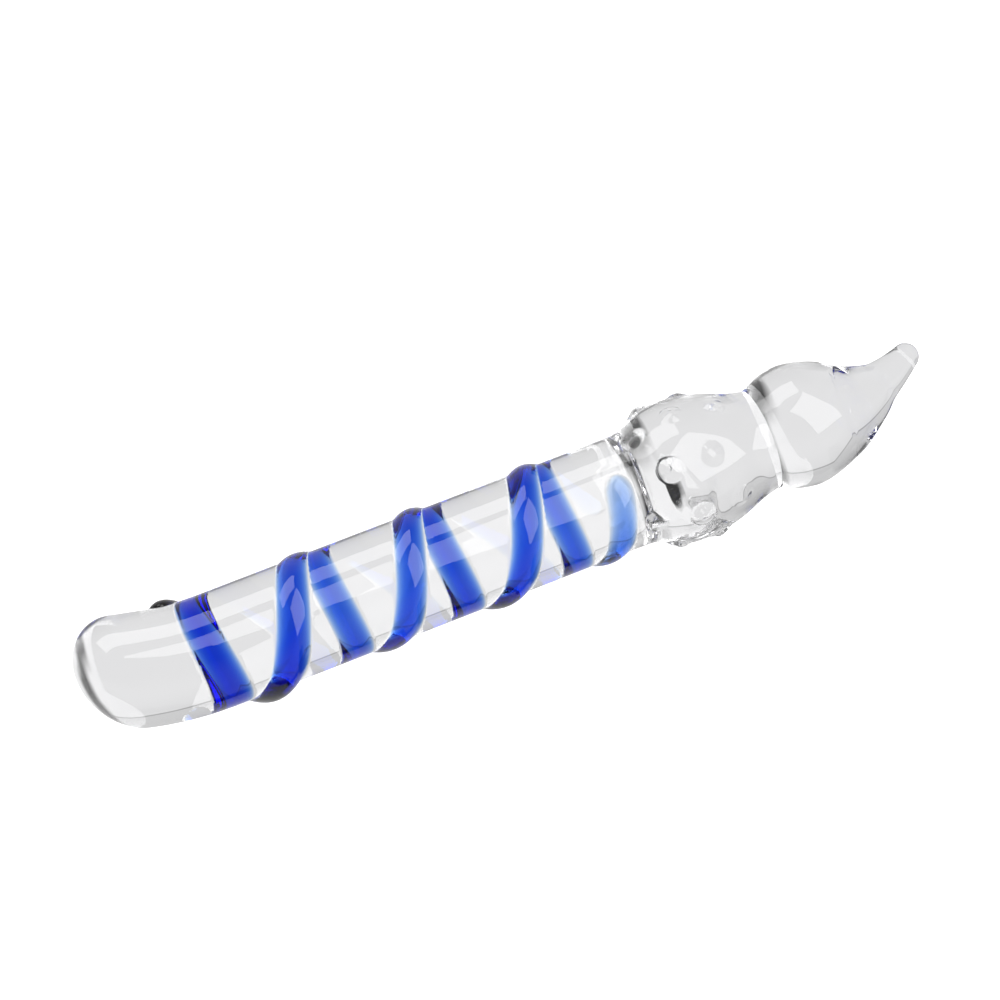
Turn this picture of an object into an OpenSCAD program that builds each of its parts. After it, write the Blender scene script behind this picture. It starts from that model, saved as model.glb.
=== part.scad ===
// Solid glass wand: a clear round rod with a bent, rounded nose, a raised blue spiral wound on it,
// a nubbed bulb and a flame-shaped finial. Millimetres. The wand lies on the plane Z = 0, with +X
// from the nose to the flame. Stations along the wand are counted from the tip of the nose.

/* [Rod] */
// Diameter of the clear rod
rod_d = 25; // [22:0.5:28]
// Station where the rod ends and the bulb begins
rod_end = 124.2; // [124.2:0.1:128]
// Depth of the rounded nose, measured along the rod
nose_depth = 11.1; // [9:0.1:13]
// Middle line of the bent nose: stations
nose_x = [0, 4, 9, 14, 19, 24, 29];
// Middle line of the bent nose: how far it lies to the side at those stations
nose_y = [5.3, 4.4, 3.25, 2.0, 0.95, 0.25, 0];
// How much thicker the rod is where it swells behind the nose
nose_swell = 0.25; // [0:0.05:0.4]

/* [Spiral] */
// Station of each crossing of the wand's two sides, one every half turn, as wound by hand
trail_x = [22.2, 38.1, 52.3, 65.2, 78.6, 91.3, 105.2, 116.0, 123.0];
// Height of the spiral above the rod at each crossing
trail_h = [1.5, 2.2, 0.9, 1.2, 1.1, 1.45, 1.1, 1.0, 0.9];
// Width of the spiral at each crossing
trail_w = [6.6, 8.0, 6.8, 7.2, 6.6, 7.4, 6.8, 6.8, 6.2];
// Angle round the wand of the first crossing, from +Y towards +Z
trail_spin = 23; // [0:1:359]
// Half turns from the first crossing to the far end
trail_turns = 7.6; // [6:0.05:7.6]
// How far the passes over the top lie further on, and those underneath further back
trail_sway = 1.1; // [0:0.1:1.6]
// Length of the rounded taper at each end
trail_taper = 4.5; // [3:0.5:6]

/* [Bulb] */
// Outline of the bulb from the rod to the neck: stations
bulb_x = [0, 2.2, 3.8, 5.8, 8.6, 12.7, 17.8, 22.8, 28.8, 32.6];
// Outline of the bulb: radii at those stations
bulb_r = [12.5, 12.6, 13.1, 14.1, 15.3, 15.9, 15.5, 14.4, 12.25, 11.3];
// Stations of the nub rows, from the end of the rod
row_x = [3.3, 8.1, 12.9, 17.8, 22.6];
// How far the rows lean: the side at the angle of the first crossing lies this much further on
row_lean = 1; // [0:0.1:1.5]
// Height of a nub above the bulb
nub_h = 0.9; // [0.7:0.1:1.2]
// Diameter of a nub where it meets the bulb
nub_d = 4.8; // [4.2:0.1:5.4]
// Nubs in a row
nub_count = 4; // [3:1:5]
// Angle round the wand of the first nub in the even rows
nub_spin = 21.3; // [0:0.1:89]

/* [Flame] */
// Outline of the flame from the neck to the start of its round end: stations
flame_x = [0, 2.2, 5.2, 9.4, 14, 19, 24, 27.5, 30.5, 34, 38.6];
// Outline of the flame: radii at those stations
flame_r = [11.3, 12.1, 13.3, 13.9, 13.1, 11.2, 8.4, 6.6, 5.05, 4.1, 3.1];
// Station, from the neck, where the flame starts to curve
curl_start = 18; // [16:0.5:22]
// How far the tip curves to the side
curl = 6.1; // [3:0.1:8]
// Station, from the neck, of the middle of the round end
curl_end = 38.6; // [34:0.1:38.6]

/* [Hidden] */
rod_r = rod_d / 2;
neck_x = rod_end + bulb_x[len(bulb_x) - 1];
total_l = 198.5;
RING = 64;
seam_gap = 0.02;

// A smooth curve through the values ys at the places xs.
function span(xs, x, i = 0) = (i >= len(xs) - 2 || x <= xs[i + 1]) ? i : span(xs, x, i + 1);
function slope(xs, ys, i) =
    let (a = max(i - 1, 0), b = min(i + 1, len(xs) - 1)) (ys[b] - ys[a]) / (xs[b] - xs[a]);
function curve(xs, ys, x) =
    let (i = span(xs, x), step = xs[i + 1] - xs[i], t = (x - xs[i]) / step)
    (1 + 2 * t) * pow(1 - t, 2) * ys[i] + t * pow(1 - t, 2) * step * slope(xs, ys, i)
    + pow(t, 2) * (3 - 2 * t) * ys[i + 1] + pow(t, 2) * (t - 1) * step * slope(xs, ys, i + 1);

// How the wand rests: on the spiral's first low pass and on the belly of the bulb.
low_half_turn = (trail_spin + 90) / 180;
half_turns = [for (i = [0:len(trail_x) - 1]) i];
function trail_station(h) = curve(half_turns, trail_x, h) - trail_sway * sin(180 * h);
trail_rest_x = trail_station(low_half_turn);
trail_rest_r = rod_r + curve(half_turns, trail_h, low_half_turn);
belly_x = rod_end + row_x[2];
belly_r = curve(bulb_x, bulb_r, row_x[2]);
rest_tilt = asin((belly_r - trail_rest_r) / (belly_x - trail_rest_x));
rest_z = trail_rest_r / cos(rest_tilt) - trail_rest_x * sin(rest_tilt);

module resting() {
    translate([-total_l / 2, 0, rest_z]) rotate([0, -rest_tilt, 0]) children();
}

// A place round the rod at station x, angle a and radius r, following the bend of the nose.
function bend_y(x) = x < nose_x[len(nose_x) - 1] ? curve(nose_x, nose_y, x) : 0;
function on_rod(x, a, r) = [x, bend_y(x) + r * cos(a), r * sin(a)];
function rod_radius(x) =
    let (swell = nose_swell * (1 + cos(180 * min(abs(x - 12) / 14, 1))) / 2,
        short = max(1 - x / nose_depth, 0))
    (rod_r + swell) * sqrt(1 - pow(short, 2));

// Rings of equal point count joined into one closed solid.
module strung(rings) {
    n = len(rings[0]);
    last = len(rings) - 1;
    sides = [for (i = [0:last - 1], j = [0:n - 1])
        let (a = i * n + j, b = i * n + (j + 1) % n)
        each [[a + n, b + n, b], [a + n, b, a]]];
    caps = [[for (j = [0:n - 1]) j], [for (j = [n - 1:-1:0]) last * n + j]];
    polyhedron(points = [for (ring = rings) each ring], faces = concat(sides, caps), convexity = 12);
}

module shaft_rod() {
    nose_steps = 16;
    bend_steps = 14;
    bend_end = nose_x[len(nose_x) - 1];
    dome = [for (i = [nose_steps:-1:1]) nose_depth * (1 - sin(88 * i / nose_steps))];
    bend = [for (i = [0:bend_steps]) nose_depth + (bend_end - nose_depth) * i / bend_steps];
    color([0.90, 0.92, 0.96, 0.55]) resting() strung([for (x = concat(dome, bend, [rod_end]))
        [for (j = [0:RING - 1]) on_rod(x, 360 * j / RING, rod_radius(x))]]);
}

// One ring of the spiral: a rounded ridge whose foot follows the rod's surface.
function trail_ring(h, swell) =
    let (x = trail_station(h), a = trail_spin - 180 * h,
        rise = trail_station(h + 0.01) - trail_station(h - 0.01),
        lean = atan(rise / 0.02 / (PI * rod_r)),
        half_w = curve(half_turns, trail_w, h) / 2 * swell,
        top = curve(half_turns, trail_h, h) * swell,
        foot = [for (i = [-2:2]) [half_w * i / 2, 0]],
        ridge = [for (i = [1:7]) [half_w * cos(22.5 * i), top * sin(22.5 * i)]])
    [for (p = concat(foot, ridge))
        let (px = x + p[0] * cos(lean))
        on_rod(px, a + p[0] * sin(lean) / rod_r * 180 / PI, rod_radius(px) + seam_gap + p[1])];

module spiral_trail() {
    steps = 180;
    first = -0.06;
    turn_l = PI * rod_r;
    rings = [for (i = [0:steps])
        let (h = first + (trail_turns - first) * i / steps,
            near_end = max(min(h - first, trail_turns - h), 0) * turn_l,
            t = min(near_end / trail_taper, 1))
        trail_ring(h, max(sqrt(1 - pow(1 - t, 2)), 0.08))];
    color([0.05, 0.20, 0.78]) resting() strung(rings);
}

module bulb_body() {
    outline = [for (x = [0:0.7:bulb_x[len(bulb_x) - 1]]) [curve(bulb_x, bulb_r, x), x]];
    neck = [bulb_r[len(bulb_r) - 1], bulb_x[len(bulb_x) - 1]];
    rotate([0, 90, 0]) rotate_extrude($fn = RING)
        polygon(concat([[0, 0]], outline, [neck, [0, neck[1]]]));
}

module nub_bulb() {
    color([0.90, 0.92, 0.94, 0.55]) resting() translate([rod_end, 0, 0]) bulb_body();
}

// A ring of a nub, `reach` from its middle and `up` above the bulb, whose surface it follows.
function nub_ring(x, a, reach, up) =
    [for (j = [0:13]) let (t = 360 * j / 14, px = x + reach * cos(t), r = curve(bulb_x, bulb_r, px))
        let (pa = a - reach * sin(t) / r * 180 / PI)
        [px, (r + up) * cos(pa), (r + up) * sin(pa)]];

// Row 1 is next to the rod. Even rows sit half a space round from the odd ones.
module nub_row(row) {
    rim = nub_d / 2;
    ball_r = (pow(rim, 2) + pow(nub_h, 2)) / (2 * nub_h);
    first = nub_spin + (row % 2) * 180 / nub_count;
    color([0.94, 0.95, 0.97, 0.55]) resting() translate([rod_end, 0, 0])
        for (i = [0:nub_count - 1]) {
            a = first + 360 / nub_count * i;
            x = row_x[row - 1] + row_lean * cos(a - trail_spin);
            foot = [for (reach = [0.02, 0.5, 1] * rim) nub_ring(x, a, reach, seam_gap)];
            dome = [for (reach = [0.85, 0.6, 0.3, 0.02] * rim)
                nub_ring(x, a, reach, seam_gap + sqrt(pow(ball_r, 2) - pow(reach, 2)) - ball_r + nub_h)];
            strung(concat(foot, dome));
        }
}

// The flame: round rings along a centre line that curves to the side near the tip.
function curl_y(x) = curl * pow(max(x - curl_start, 0) / (curl_end - curl_start), 1.8);
function flame_ring(x, along, r) =
    let (heading = atan((curl_y(x + 0.05) - curl_y(x - 0.05)) / 0.1))
    [for (j = [0:RING - 1]) let (a = 360 * j / RING)
        [x + along * cos(heading) - r * cos(a) * sin(heading),
            curl_y(x) + along * sin(heading) + r * cos(a) * cos(heading), r * sin(a)]];

module flame_finial() {
    body_steps = 30;
    end_steps = 6;
    end_r = curve(flame_x, flame_r, curl_end);
    body = [for (i = [0:body_steps])
        let (x = curl_end * i / body_steps) flame_ring(x, 0, curve(flame_x, flame_r, x))];
    round_end = [for (i = [1:end_steps])
        let (t = 88 * i / end_steps) flame_ring(curl_end, end_r * sin(t), end_r * cos(t))];
    color([0.90, 0.91, 0.93, 0.55]) resting() translate([neck_x, 0, 0]) strung(concat(body, round_end));
}

shaft_rod();
spiral_trail();
nub_bulb();
for (row = [1:len(row_x)]) nub_row(row);
flame_finial();
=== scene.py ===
"""A solid glass wand: clear round rod with a bent nose, raised blue spiral, nubbed bulb and flame finial.

Shapes are computed in millimetres in the wand's own frame, with x from the tip of the nose, and then
laid down as the wand rests. Where one gather of glass meets another, both pieces have a seam surface
that lets light straight through, so that the pieces look like one body of glass.
"""

import math

import bpy
import numpy as np
from mathutils import Matrix, Vector


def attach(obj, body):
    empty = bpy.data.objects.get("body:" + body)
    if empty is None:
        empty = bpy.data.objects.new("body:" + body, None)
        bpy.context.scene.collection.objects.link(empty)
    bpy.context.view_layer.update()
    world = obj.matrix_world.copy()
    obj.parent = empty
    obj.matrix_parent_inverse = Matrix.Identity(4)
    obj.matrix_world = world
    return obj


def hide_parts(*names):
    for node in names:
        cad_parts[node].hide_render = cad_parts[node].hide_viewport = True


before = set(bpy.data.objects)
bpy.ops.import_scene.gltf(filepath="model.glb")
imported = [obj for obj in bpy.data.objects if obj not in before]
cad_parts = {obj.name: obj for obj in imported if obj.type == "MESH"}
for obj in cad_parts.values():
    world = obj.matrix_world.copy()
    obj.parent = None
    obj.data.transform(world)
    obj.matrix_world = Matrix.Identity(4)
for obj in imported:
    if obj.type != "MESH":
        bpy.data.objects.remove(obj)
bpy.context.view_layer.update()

# ---------------------------------------------------------------- the wand's dimensions, millimetres

ROD_R = 12.5
ROD_END = 124.2
NOSE_DEPTH = 11.1
NOSE_X = [0, 4, 9, 14, 19, 24, 29]
NOSE_Y = [5.3, 4.4, 3.25, 2.0, 0.95, 0.25, 0]
NOSE_SWELL = 0.25

TRAIL_X = [22.2, 38.1, 52.3, 65.2, 78.6, 91.3, 105.2, 116.0, 123.0]
TRAIL_H = [1.5, 2.2, 0.9, 1.2, 1.1, 1.45, 1.1, 1.0, 0.9]
TRAIL_W = [6.6, 8.0, 6.8, 7.2, 6.6, 7.4, 6.8, 6.8, 6.2]
TRAIL_SINK = [1.0, 1.0, 1.0, 1.0, 1.0, 1.0, 1.0, 0.5, -1.2]  # depth in the rod; a thin skin at the end
FOOT = 0.2  # share of the ridge's height that the smooth foot takes
TRAIL_SPIN = 23
TRAIL_FIRST = -0.06
TRAIL_TURNS = 7.6
TRAIL_SWAY = 1.1
TRAIL_TAPER = 4.5
HALF_TURNS = list(range(len(TRAIL_X)))

BULB_X = [0, 2.2, 3.8, 5.8, 8.6, 12.7, 17.8, 22.8, 28.8, 32.6]
BULB_R = [12.5, 12.6, 13.1, 14.1, 15.3, 15.9, 15.5, 14.4, 12.25, 11.3]
ROW_X = [3.3, 8.1, 12.9, 17.8, 22.6]
ROW_LEAN = 1
NUB_H = 0.9
NUB_R = 2.4
NUB_FOOT_R = 3.1  # where a nub's smooth foot runs out
NUB_COUNT = 4
JOINT_FADE = 1.2  # length over which a nub's foot fades out towards the rod
NUB_SPIN = 21.3
BULB_MEAN_R = 14.5

FLAME_X = [0, 2.2, 5.2, 9.4, 14, 19, 24, 27.5, 30.5, 34, 38.6]
FLAME_R = [11.3, 12.1, 13.3, 13.9, 13.1, 11.2, 8.4, 6.6, 5.05, 4.1, 3.1]
CURL_START = 18
CURL = 6.1
CURL_END = 38.6

TOTAL_L = 198.5
NECK_X = ROD_END + BULB_X[-1]
GAP = 0.015  # between the trail and its groove in the rod
MM = 0.001

# ---------------------------------------------------------------- mesh steps, millimetres

ROD_STEPS = {"around": 180, "nose": 0.5, "rod": 0.45}
BULB_STEPS = {"around": 200, "along": 0.45}
FLAME_STEPS = {"around": 180, "along": 0.4, "tip": 0.25}
SNAP = 0.13  # places closer than this to a cut move onto it
WELD = 0.0005


def curve(xs, ys, x):
    """A smooth curve through the values ys at the places xs, as the CAD draws it."""
    xs, ys, x = np.array(xs, float), np.array(ys, float), np.asarray(x, float)
    last = len(xs) - 1
    below = np.maximum(np.arange(last + 1) - 1, 0)
    above = np.minimum(np.arange(last + 1) + 1, last)
    slopes = (ys[above] - ys[below]) / (xs[above] - xs[below])
    i = np.clip(np.searchsorted(xs, x, side="left") - 1, 0, last - 1)
    step = xs[i + 1] - xs[i]
    t = (x - xs[i]) / step
    start = (1 + 2 * t) * (1 - t) ** 2 * ys[i] + t * (1 - t) ** 2 * step * slopes[i]
    return start + t**2 * (3 - 2 * t) * ys[i + 1] + t**2 * (t - 1) * step * slopes[i + 1]


def trail_station(h):
    """The station of the trail's middle line, h half turns from its first crossing."""
    return curve(HALF_TURNS, TRAIL_X, h) - TRAIL_SWAY * np.sin(math.pi * np.asarray(h))


def resting():
    """The move that lays the wand on its spiral and its bulb, in millimetres."""
    low = (TRAIL_SPIN + 90) / 180
    trail_x = trail_station(low)
    trail_r = ROD_R + curve(HALF_TURNS, TRAIL_H, low)
    belly_x = ROD_END + ROW_X[2]
    belly_r = curve(BULB_X, BULB_R, ROW_X[2])
    tilt = math.asin((belly_r - trail_r) / (belly_x - trail_x))
    rest_z = trail_r / math.cos(tilt) - trail_x * math.sin(tilt)
    turn = np.array(Matrix.Rotation(-tilt, 3, "Y"))
    return turn, np.array([-TOTAL_L / 2, 0, rest_z])


TURN, LIFT = resting()


# ---------------------------------------------------------------- surfaces: (u, angle) -> place


def cosd(a):
    return np.cos(np.radians(a))


def sind(a):
    return np.sin(np.radians(a))


NOSE_ARC = NOSE_DEPTH * math.pi / 2


def rod_station(u):
    """The station along the rod for u, which runs evenly over the nose and then along the rod."""
    over_nose = NOSE_DEPTH * (1 - np.cos(np.clip(u / NOSE_DEPTH, 0, math.pi / 2)))
    return np.where(u < NOSE_ARC, over_nose, NOSE_DEPTH + u - NOSE_ARC)


def rod_place(p, lift):
    u, a = p[:, 0], p[:, 1]
    x = rod_station(u)
    swell = NOSE_SWELL * (1 + np.cos(math.pi * np.minimum(np.abs(x - 12) / 14, 1))) / 2
    r = (ROD_R + swell) * np.sin(np.clip(u / NOSE_DEPTH, 0, math.pi / 2)) + lift
    side = np.where(x < NOSE_X[-1], curve(NOSE_X, NOSE_Y, x), 0)
    return np.stack([x, side + r * cosd(a), r * sind(a)], 1)


def trail_near(p):
    """For places on the rod: distance to the trail's middle line, half turns along it, and its taper."""
    x, a = rod_station(p[:, 0]), p[:, 1]
    turn_l = math.pi * ROD_R
    best_d = np.full(len(x), 1e9)
    best_h = np.zeros(len(x))
    for turn in range(-1, 6):
        h0 = (TRAIL_SPIN - a) / 180 + 2 * turn
        h = np.clip(h0, TRAIL_FIRST, TRAIL_TURNS)
        for _ in range(3):
            at = trail_station(h)
            rise = (trail_station(h + 0.01) - trail_station(h - 0.01)) / 0.02
            h = h + ((x - at) * rise - turn_l**2 * (h - h0)) / (rise**2 + turn_l**2)
            h = np.clip(h, TRAIL_FIRST, TRAIL_TURNS)
        d = np.hypot(x - trail_station(h), turn_l * (h - h0))
        closer = d < best_d
        best_d, best_h = np.where(closer, d, best_d), np.where(closer, h, best_h)
    near_end = np.minimum(best_h - TRAIL_FIRST, TRAIL_TURNS - best_h) * turn_l
    t = np.clip(near_end / TRAIL_TAPER, 0, 1)
    return best_d, best_h, np.sqrt(1 - (1 - t) ** 2)


def trail_field(p):
    """Below 0 inside the blue trail's outline on the rod."""
    d, h, size = trail_near(p)
    return d - curve(HALF_TURNS, TRAIL_W, h) / 2 * size


def trail_across(p):
    """For places on the rod: how far across the trail (1 at the blue's edge), its height and its sink."""
    d, h, size = trail_near(p)
    half_w = np.maximum(curve(HALF_TURNS, TRAIL_W, h) / 2 * size, 0.05)
    return d / half_w, curve(HALF_TURNS, TRAIL_H, h) * size, curve(HALF_TURNS, TRAIL_SINK, h) * size


def trail_top(p):
    """Height of the ridge above the rod, with a clear foot that runs out a little past the blue."""
    q, height, _ = trail_across(p)
    inside = 1 - q**2
    foot = (np.clip(inside, -FOOT, FOOT) + FOOT) ** 2 / (4 * FOOT)
    return height * np.where(inside > FOOT, inside, foot)


def trail_under(p):
    """Height of the trail's lower side: at the blue's edge it meets the top, and in the middle it sank in."""
    q, height, sink = trail_across(p)
    q = np.minimum(q, 1)
    return height * FOOT / 4 * q**2 - sink * (1 - q**2)


def trail_under_rod(p):
    """The groove in the rod, a hair deeper than the trail that fills it."""
    return trail_under(p) - GAP * (1 - np.minimum(trail_across(p)[0], 1) ** 2)


def bulb_place(p, lift):
    x, a = p[:, 0], p[:, 1]
    r = curve(BULB_X, BULB_R, x) + lift
    return np.stack([ROD_END + x, r * cosd(a), r * sind(a)], 1)


def nub_places(row):
    """(station on the bulb, angle) of each nub of a row, row 1 next to the rod."""
    first = NUB_SPIN + (row % 2) * 180 / NUB_COUNT
    angles = [first + 360 / NUB_COUNT * i for i in range(NUB_COUNT)]
    return [(ROW_X[row - 1] + ROW_LEAN * math.cos(math.radians(a - TRAIL_SPIN)), a) for a in angles]


def nub_reach(p, rows):
    """Distance on the bulb's surface to the nearest nub's middle."""
    x, a = p[:, 0], p[:, 1]
    r = curve(BULB_X, BULB_R, x)
    best = np.full(len(x), 1e9)
    for row in rows:
        for nub_x, nub_a in nub_places(row):
            across = np.radians((a - nub_a + 180) % 360 - 180) * r
            best = np.minimum(best, np.hypot(x - nub_x, across))
    return best


ALL_ROWS = range(1, len(ROW_X) + 1)


def joint_fade(p):
    """Rises from 0 at the rod to 1 a little way along the bulb, so that no nub's foot steps up at the joint."""
    t = np.clip(p[:, 0] / JOINT_FADE, 0, 1)
    return t**2 * (3 - 2 * t)


def nub_top(p):
    return NUB_H * np.clip(1 - (nub_reach(p, ALL_ROWS) / NUB_FOOT_R) ** 2, 0, 1) ** 2 * joint_fade(p)


def nub_under(p):
    return NUB_H * (1 - (NUB_R / NUB_FOOT_R) ** 2) ** 2 * joint_fade(p)


def no_lift(p):
    return np.zeros(len(p))


FLAME_TIP_R = float(curve(FLAME_X, FLAME_R, CURL_END))
TIP_ARC = FLAME_TIP_R * math.pi / 2


def curl_y(x):
    return CURL * (np.maximum(x - CURL_START, 0) / (CURL_END - CURL_START)) ** 1.8


def flame_place(p, lift):
    u, a = p[:, 0], p[:, 1]
    x = np.minimum(u, CURL_END)
    t = np.clip((u - CURL_END) / FLAME_TIP_R, 0, math.pi / 2)
    r = np.where(u < CURL_END, curve(FLAME_X, FLAME_R, x), FLAME_TIP_R * np.cos(t)) + lift
    along = FLAME_TIP_R * np.sin(t)
    head = np.arctan((curl_y(x + 0.05) - curl_y(x - 0.05)) / 0.1)
    px = x + along * np.cos(head) - r * cosd(a) * np.sin(head)
    py = curl_y(x) + along * np.sin(head) + r * cosd(a) * np.cos(head)
    return np.stack([NECK_X + px, py, r * sind(a)], 1)


# ---------------------------------------------------------------- mesh building


def facing(p, place, lift):
    """Outward directions of a surface, from small steps along it."""
    du, da = np.array([0.02, 0]), np.array([0, 0.1])
    along = place(p + du, lift(p + du)) - place(p - du, lift(p - du))
    across = place(p + da, lift(p + da)) - place(p - da, lift(p - da))
    n = np.cross(across, along)
    return n / np.maximum(np.linalg.norm(n, axis=1, keepdims=True), 1e-12)


def tube(us, around):
    """Places (u, angle) on a tube and its triangles, which face outward."""
    u, a = np.meshgrid(us, np.arange(around) * 360 / around, indexing="ij")
    i = np.arange(len(us) - 1)[:, None] * around
    j = np.arange(around)[None, :]
    k = (j + 1) % around
    p, q, r, s = i + j, i + k, i + around + k, i + around + j
    tris = np.concatenate([np.stack(t, -1).reshape(-1, 3) for t in ((p, q, r), (p, r, s))])
    return np.stack([u.ravel(), a.ravel()], 1), tris


def split(p, tris, field, radius):
    """Cuts a tube's triangles along field = 0.

    Gives places, inner and outer triangles, and which places lie on the cut.
    """
    scale = np.array([1, math.radians(1) * radius])
    f = field(p)
    close = np.abs(f) < SNAP
    steps = np.array([[0.02, 0], [0, 0.1]])
    slope = np.stack([(field(p[close] + s) - field(p[close] - s)) / (2 * s.sum()) for s in steps], 1)
    slope_mm = slope / scale
    move = -f[close, None] * slope_mm / np.maximum((slope_mm**2).sum(1, keepdims=True), 0.05)
    p = p.copy()
    p[close] += move / scale
    f[close] = 0
    s = np.sign(f)[tris]
    mixed = (s > 0).any(1) & (s < 0).any(1)
    whole, parts = tris[~mixed], []
    middle = p[whole].copy()
    middle[:, 1:, 1] = middle[:, :1, 1] + (middle[:, 1:, 1] - middle[:, :1, 1] + 180) % 360 - 180
    whole_in = np.where((s[~mixed] == 0).all(1), field(middle.mean(1)) < 0, (s[~mixed] < 0).any(1))
    t, s = tris[mixed], s[mixed]
    three = (s != 0).all(1)
    lone = np.where(three, (s * s.sum(1, keepdims=True) < 0).argmax(1), (s == 0).argmax(1))
    turn = (np.arange(3)[None, :] + lone[:, None]) % 3
    t = np.take_along_axis(t, turn, 1)
    s = np.take_along_axis(s, turn, 1)
    edges = np.concatenate([t[~three][:, [1, 2]], t[three][:, [0, 1]], t[three][:, [0, 2]]])
    pairs, which = np.unique(np.sort(edges, 1), axis=0, return_inverse=True)
    which = which.reshape(-1) + len(p)
    i, j = pairs[:, 0], pairs[:, 1]
    dp = p[j] - p[i]
    dp[:, 1] = (dp[:, 1] + 180) % 360 - 180
    low, high, f_low = np.zeros(len(i)), np.ones(len(i)), f[i]
    for _ in range(12):
        mid = (low + high) / 2
        same = np.sign(field(p[i] + dp * mid[:, None])) == np.sign(f_low)
        low, high = np.where(same, mid, low), np.where(same, high, mid)
    new = p[i] + dp * ((low + high) / 2)[:, None]
    n2, n3 = (~three).sum(), three.sum()
    m, m1, m2 = which[:n2], which[n2 : n2 + n3], which[n2 + n3 :]
    z, b, c = t[~three].T
    parts += [(np.stack([z, b, m], 1), s[~three][:, 1]), (np.stack([z, m, c], 1), s[~three][:, 2])]
    a, b, c = t[three].T
    parts += [(np.stack([a, m1, m2], 1), s[three][:, 0])]
    parts += [(np.stack([m1, b, c], 1), s[three][:, 1]), (np.stack([m1, c, m2], 1), s[three][:, 1])]
    tris = np.concatenate([whole] + [part for part, _ in parts])
    inside = np.concatenate([whole_in] + [side < 0 for _, side in parts])
    on_cut = np.concatenate([f == 0, np.ones(len(new), bool)])
    return np.concatenate([p, new]), tris[inside], tris[~inside], on_cut


class Piece:
    """Sheets of triangles gathered into one closed mesh, each with its own material."""

    def __init__(self, name):
        self.name, self.count = name, 0
        self.points, self.tris, self.normals, self.kinds = [], [], [], []

    def add(self, points, tris, normals, kind, flip=False):
        """points and normals go with each other; tris index them. Returns the new indices."""
        used, tris = np.unique(tris, return_inverse=True)
        tris = tris.reshape(-1, 3)
        self.points.append(points[used])
        self.tris.append((tris[:, ::-1] if flip else tris) + self.count)
        n = normals[used] * (-1 if flip else 1)
        self.normals.append(n[tris[:, ::-1] if flip else tris])
        self.kinds.append(np.full(len(tris), kind))
        self.count += len(used)

    def build(self, materials):
        points, tris = np.concatenate(self.points), np.concatenate(self.tris)
        normals, kinds = np.concatenate(self.normals), np.concatenate(self.kinds)
        key = np.round(points / WELD).astype(np.int64)
        _, first, same = np.unique(key, axis=0, return_index=True, return_inverse=True)
        points, tris = points[first], same.reshape(-1)[tris]
        keep = (tris[:, 0] != tris[:, 1]) & (tris[:, 1] != tris[:, 2]) & (tris[:, 0] != tris[:, 2])
        tris, normals, kinds = tris[keep], normals[keep], kinds[keep]
        laid = (points @ TURN.T + LIFT) * MM
        mesh = bpy.data.meshes.new(self.name)
        mesh.from_pydata(laid.tolist(), [], tris.tolist())
        for m in materials:
            mesh.materials.append(m)
        slots = {kind: i for i, kind in enumerate(sorted(set(kinds.tolist())))}
        if len(materials) == 1:
            slots = dict.fromkeys(slots, 0)
        mesh.polygons.foreach_set("material_index", np.array([slots[k] for k in kinds.tolist()], np.int32))
        mesh.polygons.foreach_set("use_smooth", np.ones(len(tris), bool))
        seam = mesh.attributes.new("seam", "FLOAT", "FACE")
        seam.data.foreach_set("value", (kinds == SEAM).astype(np.float32))
        mesh.update()
        mesh.normals_split_custom_set((normals.reshape(-1, 3) @ TURN.T).tolist())
        obj = bpy.data.objects.new(self.name, mesh)
        bpy.context.scene.collection.objects.link(obj)
        return obj


SKIN, SEAM = 0, 1


def disc(piece, place, u, around, side, lift=no_lift):
    """The flat seam that closes a tube at u, facing +x or -x."""
    ring = np.stack([np.full(around, u), np.arange(around) * 360 / around], 1)
    points = place(ring, lift(ring))
    points = np.concatenate([points, points.mean(0, keepdims=True)])
    j = np.arange(around)
    tris = np.stack([j, (j + 1) % around, np.full(around, around)], 1)
    normals = np.tile([[float(side), 0, 0]], (around + 1, 1))
    tris = tris if side > 0 else tris[:, ::-1]
    used = normals[tris]
    piece.points.append(points)
    piece.tris.append(tris + piece.count)
    piece.normals.append(used)
    piece.kinds.append(np.full(len(tris), SEAM))
    piece.count += len(points)


def sheet(piece, p, tris, place, lift, kind, on_cut=None, top=None, flip=False):
    """Adds a surface to a piece. Places on a cut take the top's height, so that both sheets meet there."""
    height = lift(p)
    if on_cut is not None:
        height = np.where(on_cut, top(p), height)
    piece.add(place(p, height), tris, facing(p, place, lift), kind, flip)


def stations(*ends_and_steps):
    """Even steps through a list of (end, step), from 0."""
    us = [0.0]
    for end, step in ends_and_steps:
        count = max(int(round((end - us[-1]) / step)), 1)
        us += list(np.linspace(us[-1], end, count + 1)[1:])
    return np.array(us)


# ---------------------------------------------------------------- materials


def new_material(name):
    mat = bpy.data.materials.new(name)
    mat.use_nodes = True
    mat.node_tree.nodes.clear()
    return mat, mat.node_tree.nodes, mat.node_tree.links


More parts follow.
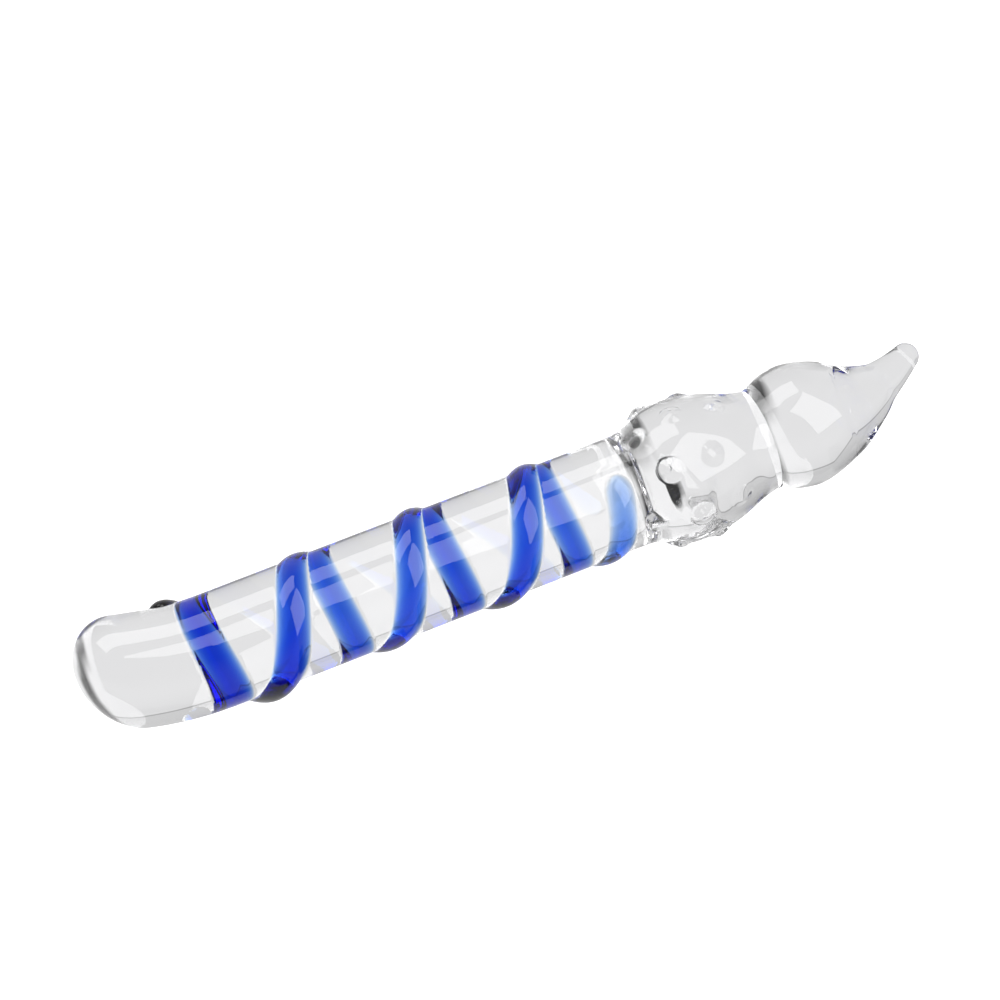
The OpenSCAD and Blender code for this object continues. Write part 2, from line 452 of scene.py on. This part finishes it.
def glass(name, tint, ripple, absorb=None):
    """Fire-polished glass. The floor is lit through it, and a mesh's seam faces let all light straight on."""
    mat, nodes, links = new_material(name)
    out = nodes.new("ShaderNodeOutputMaterial")
    body = nodes.new("ShaderNodeBsdfPrincipled")
    body.inputs["Base Color"].default_value = (*tint, 1)
    body.inputs["Transmission Weight"].default_value = 1
    body.inputs["Roughness"].default_value = 0.01
    body.inputs["IOR"].default_value = 1.47
    place = nodes.new("ShaderNodeTexCoord")
    noise = nodes.new("ShaderNodeTexNoise")
    noise.inputs["Scale"].default_value = 55
    noise.inputs["Detail"].default_value = 1.5
    bump = nodes.new("ShaderNodeBump")
    bump.inputs["Strength"].default_value = ripple
    bump.inputs["Distance"].default_value = 0.001
    links.new(place.outputs["Object"], noise.inputs["Vector"])
    links.new(noise.outputs["Fac"], bump.inputs["Height"])
    links.new(bump.outputs["Normal"], body.inputs["Normal"])
    through = nodes.new("ShaderNodeBsdfTransparent")
    through.inputs["Color"].default_value = (0.97, 0.97, 0.97, 1)
    path = nodes.new("ShaderNodeLightPath")
    floor_light = nodes.new("ShaderNodeMath")
    floor_light.operation = "MAXIMUM"
    links.new(path.outputs["Is Shadow Ray"], floor_light.inputs[0])
    links.new(path.outputs["Is Diffuse Ray"], floor_light.inputs[1])
    lamps = nodes.new("ShaderNodeMixShader")
    links.new(floor_light.outputs["Value"], lamps.inputs["Fac"])
    links.new(body.outputs["BSDF"], lamps.inputs[1])
    links.new(through.outputs["BSDF"], lamps.inputs[2])
    surface = lamps
    if absorb:
        open_seam = nodes.new("ShaderNodeBsdfTransparent")
        seam = nodes.new("ShaderNodeAttribute")
        seam.attribute_name = "seam"
        joined = nodes.new("ShaderNodeMixShader")
        links.new(seam.outputs["Fac"], joined.inputs["Fac"])
        links.new(lamps.outputs["Shader"], joined.inputs[1])
        links.new(open_seam.outputs["BSDF"], joined.inputs[2])
        surface = joined
        inner = nodes.new("ShaderNodeVolumeAbsorption")
        inner.inputs["Color"].default_value = (*absorb[0], 1)
        inner.inputs["Density"].default_value = absorb[1]
        links.new(inner.outputs["Volume"], out.inputs["Volume"])
    links.new(surface.outputs["Shader"], out.inputs["Surface"])
    return mat


def seam_material():
    mat, nodes, links = new_material("fused_seam")
    out = nodes.new("ShaderNodeOutputMaterial")
    through = nodes.new("ShaderNodeBsdfTransparent")
    links.new(through.outputs["BSDF"], out.inputs["Surface"])
    return mat


clear = glass("clear_glass", (0.985, 0.985, 0.995), 0.03)
blue = glass("blue_glass", (1, 1, 1), 0.03, absorb=((0.04, 0.42, 0.93), 1850))
fused = seam_material()

# ---------------------------------------------------------------- the pieces


def finish(piece, node, materials):
    obj = piece.build(materials)
    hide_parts(node)
    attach(obj, "root")
    return obj


def rod_and_trail():
    around = ROD_STEPS["around"]
    length = NOSE_ARC + ROD_END - NOSE_DEPTH
    p, tris = tube(stations((NOSE_ARC, ROD_STEPS["nose"]), (length, ROD_STEPS["rod"])), around)
    p, inner, outer, on_cut = split(p, tris, trail_field, ROD_R)
    rod, trail = Piece("rod_glass"), Piece("spiral_glass")
    sheet(rod, p, outer, rod_place, trail_top, SKIN)
    sheet(rod, p, inner, rod_place, trail_under_rod, SEAM, on_cut, trail_top)
    disc(rod, rod_place, length, around, 1, trail_top)
    sheet(trail, p, inner, rod_place, trail_top, SKIN)
    sheet(trail, p, inner, rod_place, trail_under, SEAM, on_cut, trail_top, flip=True)
    finish(rod, "shaft_rod", [clear, fused])
    finish(trail, "spiral_trail", [blue]).visible_shadow = False


def bulb_and_nubs():
    around = BULB_STEPS["around"]
    p, tris = tube(stations((BULB_X[-1], BULB_STEPS["along"])), around)
    p, inner, outer, on_cut = split(p, tris, lambda q: nub_reach(q, ALL_ROWS) - NUB_R, BULB_MEAN_R)
    bulb = Piece("bulb_glass")
    sheet(bulb, p, outer, bulb_place, nub_top, SKIN)
    sheet(bulb, p, inner, bulb_place, nub_under, SEAM, on_cut, nub_top)
    disc(bulb, bulb_place, 0, around, -1, nub_top)
    disc(bulb, bulb_place, BULB_X[-1], around, 1, nub_top)
    finish(bulb, "nub_bulb", [clear, fused])
    where = p[inner].copy()
    where[:, 1:, 1] = where[:, :1, 1] + (where[:, 1:, 1] - where[:, :1, 1] + 180) % 360 - 180
    where = where.mean(1)
    for row in ALL_ROWS:
        mine = inner[nub_reach(where, [row]) < NUB_FOOT_R]
        nubs = Piece(f"nub_row_{row}_glass")
        sheet(nubs, p, mine, bulb_place, nub_top, SKIN)
        sheet(nubs, p, mine, bulb_place, nub_under, SEAM, on_cut, nub_top, flip=True)
        finish(nubs, f"nub_row_{row}", [clear, fused])


def flame():
    around = FLAME_STEPS["around"]
    ends = (CURL_END, FLAME_STEPS["along"]), (CURL_END + TIP_ARC, FLAME_STEPS["tip"])
    p, tris = tube(stations(*ends), around)
    piece = Piece("flame_glass")
    sheet(piece, p, tris, flame_place, no_lift, SKIN)
    disc(piece, flame_place, 0, around, -1)
    finish(piece, "flame_finial", [clear, fused])


rod_and_trail()
bulb_and_nubs()
flame()

# ---------------------------------------------------------------- floor, light and camera


def floor():
    """A pale floor that glows a little. The glass neither shows nor reflects it, but the sky instead."""
    mesh = bpy.data.meshes.new("floor")
    half = 3.0
    corners = [(-half, -half, 0), (half, -half, 0), (half, half, 0), (-half, half, 0)]
    mesh.from_pydata(corners, [], [(0, 1, 2, 3)])
    obj = bpy.data.objects.new("floor", mesh)
    bpy.context.scene.collection.objects.link(obj)
    mat, nodes, links = new_material("pale_floor")
    out = nodes.new("ShaderNodeOutputMaterial")
    body = nodes.new("ShaderNodeBsdfDiffuse")
    body.inputs["Color"].default_value = (0.9, 0.9, 0.9, 1)
    glow = nodes.new("ShaderNodeEmission")
    glow.inputs["Strength"].default_value = 0.55
    both = nodes.new("ShaderNodeAddShader")
    links.new(body.outputs["BSDF"], both.inputs[0])
    links.new(glow.outputs["Emission"], both.inputs[1])
    links.new(both.outputs["Shader"], out.inputs["Surface"])
    mesh.materials.append(mat)
    obj.visible_transmission = False
    obj.visible_glossy = False


SKY_ROUND = [  # angle round the wand's length in degrees, +Y 0, down 90, -Y 180: brightness
    (0, 0.60),
    (20, 0.64),
    (27.4, 0.64),
    (28.6, 0.20),
    (29.4, 0.77),
    (50, 0.82),
    (85, 0.82),
    (116, 0.75),
    (129, 0.66),
    (133, 0.10),
    (140, 0.10),
    (146, 0.60),
    (180, 0.66),
]
SKY_TILT = 15  # how many degrees further round that pattern lies for x below -0.2
SKY_END = [(0, 1), (0.38, 1), (0.44, 0.07), (0.58, 0.07), (0.66, 0.95)]  # how it darkens towards +X
SKY_END_LOW = [(0, 1), (0.48, 1), (0.56, 0.03), (0.66, 0.03), (0.74, 0.95)]  # the same on the +Y side
SKY_SIDES = [(70, 1), (95, 0)]  # angles between which the +Y side gives way to the -Y side
SKY_START = [(0, 1), (0.6, 1), (0.85, 0.7)]  # and towards -X
SKY_OVER = [  # the same for the upper half, from -Y 0, up 90, to +Y 180
    (0, 0.66),
    (25, 0.5),
    (50, 0.14),
    (145, 0.14),
    (160, 0.4),
    (180, 0.6),
]
BACKDROP = (0.95, 0.95, 0.95, 1)


def sky():
    """Studio surroundings: bright cards below, a narrow dark one low on the -Y side, and dim overhead."""
    world = bpy.data.worlds.new("studio")
    bpy.context.scene.world = world
    world.use_nodes = True
    nodes, links = world.node_tree.nodes, world.node_tree.links
    nodes.clear()

    def maths(operation, *values):
        n = nodes.new("ShaderNodeMath")
        n.operation = operation
        for socket, value in zip(n.inputs, values):
            if isinstance(value, bpy.types.NodeSocket):
                links.new(value, socket)
            else:
                socket.default_value = value
        return n.outputs[0]

    def ramp(where, stops, scale):
        n = nodes.new("ShaderNodeValToRGB")
        links.new(where, n.inputs["Fac"])
        marks = n.color_ramp.elements
        for i, (at, bright) in enumerate(stops):
            mark = marks[i] if i < 2 else marks.new(min(at / scale, 1))
            mark.position = min(at / scale, 1)
            mark.color = (bright, bright, bright, 1)
        return n.outputs["Color"]

    def mixed(kind, factor, a, b):
        n = nodes.new("ShaderNodeMix")
        n.data_type, n.blend_type = "RGBA", kind
        for socket, value in zip((n.inputs["Factor"], n.inputs["A"], n.inputs["B"]), (factor, a, b)):
            if isinstance(value, bpy.types.NodeSocket):
                links.new(value, socket)
            else:
                socket.default_value = value
        return n.outputs["Result"]

    where = nodes.new("ShaderNodeTexCoord")
    apart = nodes.new("ShaderNodeSeparateXYZ")
    links.new(where.outputs["Generated"], apart.inputs[0])
    x, y, z = apart.outputs
    below = maths("DIVIDE", maths("ARCTAN2", maths("MULTIPLY", z, -1.0), y), math.pi)
    above = maths("SUBTRACT", 1.0, maths("DIVIDE", maths("ARCTAN2", z, y), math.pi))
    tilt = maths("MINIMUM", maths("MAXIMUM", maths("MULTIPLY", x, -5.0), 0.0), 1.0)
    tilted = maths("SUBTRACT", below, maths("MULTIPLY", tilt, SKY_TILT / 180))
    low, high = ramp(tilted, SKY_ROUND, 180), ramp(above, SKY_OVER, 180)
    far_side = ramp(below, SKY_SIDES, 180)
    end = mixed("MIX", far_side, ramp(x, SKY_END, 1), ramp(x, SKY_END_LOW, 1))
    start = ramp(maths("MULTIPLY", x, -1.0), SKY_START, 1)
    shaded = mixed("MULTIPLY", 1.0, mixed("MULTIPLY", 1.0, low, end), start)
    both = mixed("MIX", maths("GREATER_THAN", z, 0.0), shaded, high)
    path = nodes.new("ShaderNodeLightPath")
    both = mixed("MIX", path.outputs["Is Camera Ray"], both, BACKDROP)
    back = nodes.new("ShaderNodeBackground")
    links.new(both, back.inputs["Color"])
    back.inputs["Strength"].default_value = 1
    out = nodes.new("ShaderNodeOutputWorld")
    links.new(back.outputs["Background"], out.inputs["Surface"])


SOFTBOX_POWER = 10.4  # watts per square metre of softbox
SOFTBOX_DISTANCE = 1.2


def softbox(name, toward, across, size):
    """A rectangular lamp seen from the wand in a given direction, its first side running along across."""
    data = bpy.data.lights.new(name, "AREA")
    data.shape, data.size, data.size_y = "RECTANGLE", size[0], size[1]
    data.energy = SOFTBOX_POWER * size[0] * size[1]
    lamp = bpy.data.objects.new(name, data)
    back = Vector(toward).normalized()
    side = (Vector(across) - back * Vector(across).dot(back)).normalized()
    turn = Matrix((side, back.cross(side), back)).transposed().to_4x4()
    lamp.matrix_world = Matrix.Translation(back * SOFTBOX_DISTANCE) @ turn
    lamp.visible_camera = False
    bpy.context.scene.collection.objects.link(lamp)


def camera(azimuth, elevation, roll, distance, aim, lens):
    """Azimuth 0 looks along +Y; positive roll turns the camera's right side up."""
    az, el = math.radians(azimuth), math.radians(elevation)
    back = Vector((math.sin(az) * math.cos(el), -math.cos(az) * math.cos(el), math.sin(el)))
    right = Vector((math.cos(az), math.sin(az), 0))
    up = back.cross(right)
    r = math.radians(roll)
    right, up = right * math.cos(r) + up * math.sin(r), up * math.cos(r) - right * math.sin(r)
    data = bpy.data.cameras.new("camera")
    data.lens, data.sensor_width, data.clip_start, data.clip_end = lens, 36, 0.01, 50
    obj = bpy.data.objects.new("camera", data)
    turn = Matrix((right, up, back)).transposed().to_4x4()
    obj.matrix_world = Matrix.Translation(Vector(aim) + back * distance) @ turn
    bpy.context.scene.collection.objects.link(obj)
    bpy.context.scene.camera = obj


floor()
sky()
softbox("far_box", (-0.24, 0.69, 0.70), (1, 0, 0), (1.25, 0.66))
softbox("near_box", (0.40, -0.20, 0.89), (0.59, -1.09, -0.51), (1.6, 1.05))
camera(-21.398, 63.021, -1.515, 0.57613, (-0.00045, 0.00922, 0.015), 95.17)

scene = bpy.context.scene
scene.view_settings.view_transform = "Standard"
scene.cycles.max_bounces = 24
scene.cycles.transmission_bounces = 20
scene.cycles.transparent_max_bounces = 24
scene.cycles.glossy_bounces = 12
scene.cycles.caustics_refractive = scene.cycles.caustics_reflective = False
